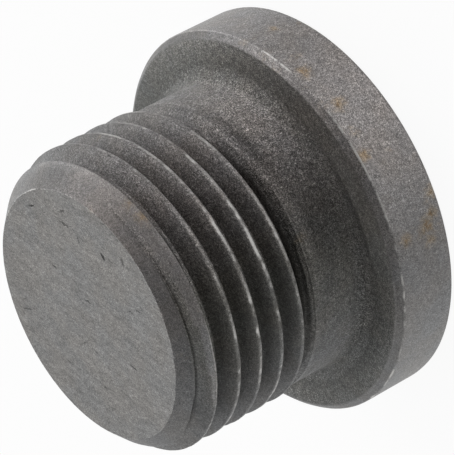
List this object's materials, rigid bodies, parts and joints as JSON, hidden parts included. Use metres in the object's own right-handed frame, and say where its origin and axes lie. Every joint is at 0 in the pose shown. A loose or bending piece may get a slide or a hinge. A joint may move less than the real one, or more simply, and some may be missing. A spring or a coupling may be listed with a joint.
{
  "type": "hexagon socket screw plug",
  "caption": "Metal screw plug with a hexagon socket, a collar that seals on a washer, a plain neck and a fine cylindrical thread; closes a threaded port.",
  "frame": {"origin": "centre of the collar's outer face, which holds the hexagon socket and which the plug stands on", "axes": "+Z along the thread axis, from the collar to the flat end of the thread; +X points to a corner of the hexagon socket"},
  "size_m": [0.023, 0.023, 0.0163],
  "materials": {
    "plug_body": "dull grey turned steel with fine scratches, bright worn thread crests, dark grooves and small rust spots on the collar"
  },
  "bodies": {
    "root": {"plug_body": "plug_body"}
  },
  "joints": []
}
